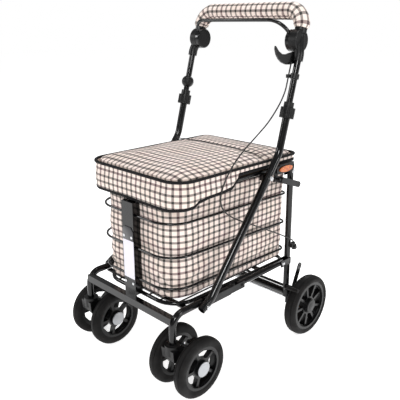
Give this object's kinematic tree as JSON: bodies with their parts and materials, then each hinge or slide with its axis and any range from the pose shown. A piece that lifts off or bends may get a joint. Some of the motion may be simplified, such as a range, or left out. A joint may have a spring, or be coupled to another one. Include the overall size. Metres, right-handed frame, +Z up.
{
  "type": "shopping trolley",
  "caption": "Four-wheeled shopping trolley with a cloth bag in a wire basket, a padded seat lid, swivel front casters, a braked rear axle and a telescopic padded push handle.",
  "frame": {"origin": "on the floor, at the middle of the object's bounding box in plan", "axes": "+Z up; +Y towards the end where the user walks, -Y the caster end; +X to the right when looking along +Y"},
  "size_m": [0.4772, 0.568, 0.8863],
  "materials": {
    "black_enamel": "gloss",
    "zinc_steel": "satin",
    "black_plastic": "satin",
    "rim_plastic": "semi-gloss",
    "tyre_rubber": "matt",
    "plaid_cloth": "woven plaid",
    "seat_plywood": "matt",
    "cable_sheath": "gloss",
    "amber_lens": "gloss",
    "white_label": "satin"
  },
  "bodies": {
    "main_frame": {"side_tube_right": "black_enamel", "side_tube_left": "black_enamel", "caster_tube_right": "black_enamel", "caster_tube_left": "black_enamel", "front_crossbar": "black_enamel", "front_plate": "black_enamel", "front_plate_label": "white_label", "seat_ring": "black_enamel", "basket_base": "black_enamel", "basket_hoop_top": "black_enamel", "basket_hoop_middle": "black_enamel", "basket_hoop_bottom": "black_enamel", "shopping_bag": "plaid_cloth", "height_collars": "black_plastic", "frame_bolts": "zinc_steel", "reflector_housings": "black_plastic", "reflectors": "amber_lens", "lid_hinges": "zinc_steel", "brake_cable_upper": "cable_sheath", "brake_cable_lower": "cable_sheath"},
    "seat_lid": {"seat_board": "seat_plywood", "seat_cushion": "plaid_cloth", "lid_skirt": "plaid_cloth", "lid_hinge_leaves": "zinc_steel"},
    "handle": {"handle_tube": "black_enamel", "grip_pad": "plaid_cloth", "brake_housings": "black_plastic", "cable_clip": "black_plastic", "holder_ball": "black_plastic", "umbrella_hook": "black_plastic"},
    "brake_lever": {"brake_bar": "black_enamel"},
    "right_lock_ring": {"lock_ring_right": "black_plastic"},
    "left_lock_ring": {"lock_ring_left": "black_plastic"},
    "fold_lever": {"release_lever": "black_enamel"},
    "rear_frame": {"rear_upright_right": "black_enamel", "rear_upright_left": "black_enamel", "axle_beam": "black_enamel", "rear_axle": "zinc_steel", "cable_adjuster": "black_plastic", "rear_bolts": "zinc_steel"},
    "brake_linkage": {"brake_shaft": "black_enamel", "brake_shoes": "tyre_rubber"},
    "front_fold_stays": {"front_stays": "black_enamel"},
    "rear_fold_stays": {"rear_stays": "black_enamel"},
    "right_rear_wheel": {"rear_tyre_right": "tyre_rubber", "rear_rim_right": "rim_plastic"},
    "right_caster": {"caster_fork_right": "black_plastic"},
    "right_caster_lock": {"caster_lock_right": "black_plastic"},
    "right_outer_caster_wheel": {"caster_tyre_right_outer": "tyre_rubber", "caster_rim_right_outer": "rim_plastic"},
    "right_inner_caster_wheel": {"caster_tyre_right_inner": "tyre_rubber", "caster_rim_right_inner": "rim_plastic"},
    "left_rear_wheel": {"rear_tyre_left": "tyre_rubber", "rear_rim_left": "rim_plastic"},
    "left_caster": {"caster_fork_left": "black_plastic"},
    "left_caster_lock": {"caster_lock_left": "black_plastic"},
    "left_outer_caster_wheel": {"caster_tyre_left_outer": "tyre_rubber", "caster_rim_left_outer": "rim_plastic"},
    "left_inner_caster_wheel": {"caster_tyre_left_inner": "tyre_rubber", "caster_rim_left_inner": "rim_plastic"}
  },
  "joints": [
    {"name": "rear_frame_fold", "type": "hinge", "parent": "main_frame", "child": "rear_frame", "pos_m": [0, 0.178, 0.465], "axis": [-1, 0, 0], "range_deg": [0, 33], "deforming": ["brake_cable_lower"]},
    {"name": "front_stay_pivot", "type": "hinge", "parent": "main_frame", "child": "front_fold_stays", "pos_m": [0, -0.166, 0.207], "axis": [-1, 0, 0], "range_deg": [0, 44.3]},
    {"name": "rear_stay_pivot", "type": "hinge", "parent": "rear_frame", "child": "rear_fold_stays", "pos_m": [0, 0.153, 0.207], "axis": [-1, 0, 0], "range_deg": [-96.92, 0]},
    {"name": "handle_height", "type": "slide", "parent": "main_frame", "child": "handle", "axis": [0, 0.2607, 0.9654], "range_m": [0, 0.06], "deforming": ["brake_cable_upper"]},
    {"name": "brake_lever_pull", "type": "hinge", "parent": "handle", "child": "brake_lever", "pos_m": [0, 0.168, 0.795], "axis": [-1, 0, 0], "range_deg": [0, 20], "stiffness_Nm_per_rad": 0.5},
    {"name": "brake_shoe_press", "type": "hinge", "parent": "rear_frame", "child": "brake_linkage", "pos_m": [0, 0.1863, 0.124], "axis": [1, 0, 0], "range_deg": [0, 8.5]},
    {"name": "right_lock_ring_twist", "type": "hinge", "parent": "main_frame", "child": "right_lock_ring", "pos_m": [0.1815, 0.12115, 0.62834], "axis": [0, 0.2607, 0.9654], "range_deg": [0, 60]},
    {"name": "left_lock_ring_twist", "type": "hinge", "parent": "main_frame", "child": "left_lock_ring", "pos_m": [-0.1815, 0.12115, 0.62834], "axis": [0, 0.2607, 0.9654], "range_deg": [0, 60]},
    {"name": "seat_lid_open", "type": "hinge", "parent": "main_frame", "child": "seat_lid", "pos_m": [0, 0.193, 0.488], "axis": [-1, 0, 0], "range_deg": [0, 46]},
    {"name": "release_lever_lift", "type": "hinge", "parent": "main_frame", "child": "fold_lever", "pos_m": [0.17, 0.1, 0.461], "axis": [1, 0, 0], "range_deg": [0, 10]},
    {"name": "right_rear_wheel_spin", "type": "hinge", "parent": "rear_frame", "child": "right_rear_wheel", "pos_m": [0.2213, 0.199, 0.085], "axis": [1, 0, 0], "continuous": true},
    {"name": "right_caster_swivel", "type": "hinge", "parent": "main_frame", "child": "right_caster", "pos_m": [0.1615, -0.253, 0.15], "axis": [0, 0, 1], "continuous": true},
    {"name": "right_caster_lock_press", "type": "hinge", "parent": "right_caster", "child": "right_caster_lock", "pos_m": [0.1615, -0.195, 0.1145], "axis": [-1, 0, 0], "range_deg": [0, 12], "stiffness_Nm_per_rad": 0.05},
    {"name": "right_outer_caster_spin", "type": "hinge", "parent": "right_caster", "child": "right_outer_caster_wheel", "pos_m": [0.2041, -0.209, 0.075], "axis": [1, 0, 0], "continuous": true},
    {"name": "right_inner_caster_spin", "type": "hinge", "parent": "right_caster", "child": "right_inner_caster_wheel", "pos_m": [0.1189, -0.209, 0.075], "axis": [1, 0, 0], "continuous": true},
    {"name": "left_rear_wheel_spin", "type": "hinge", "parent": "rear_frame", "child": "left_rear_wheel", "pos_m": [-0.2213, 0.199, 0.085], "axis": [1, 0, 0], "continuous": true},
    {"name": "left_caster_swivel", "type": "hinge", "parent": "main_frame", "child": "left_caster", "pos_m": [-0.1615, -0.253, 0.15], "axis": [0, 0, 1], "continuous": true},
    {"name": "left_caster_lock_press", "type": "hinge", "parent": "left_caster", "child": "left_caster_lock", "pos_m": [-0.1615, -0.195, 0.1145], "axis": [-1, 0, 0], "range_deg": [0, 12], "stiffness_Nm_per_rad": 0.05},
    {"name": "left_outer_caster_spin", "type": "hinge", "parent": "left_caster", "child": "left_outer_caster_wheel", "pos_m": [-0.2041, -0.209, 0.075], "axis": [1, 0, 0], "continuous": true},
    {"name": "left_inner_caster_spin", "type": "hinge", "parent": "left_caster", "child": "left_inner_caster_wheel", "pos_m": [-0.1189, -0.209, 0.075], "axis": [1, 0, 0], "continuous": true}
  ],
  "couplings": [
    {"joint": "front_stay_pivot", "follows": "rear_frame_fold", "ratio": 1.3274},
    {"joint": "rear_stay_pivot", "follows": "rear_frame_fold", "ratio": -2.9217},
    {"joint": "brake_shoe_press", "follows": "brake_lever_pull", "ratio": 0.42}
  ]
}
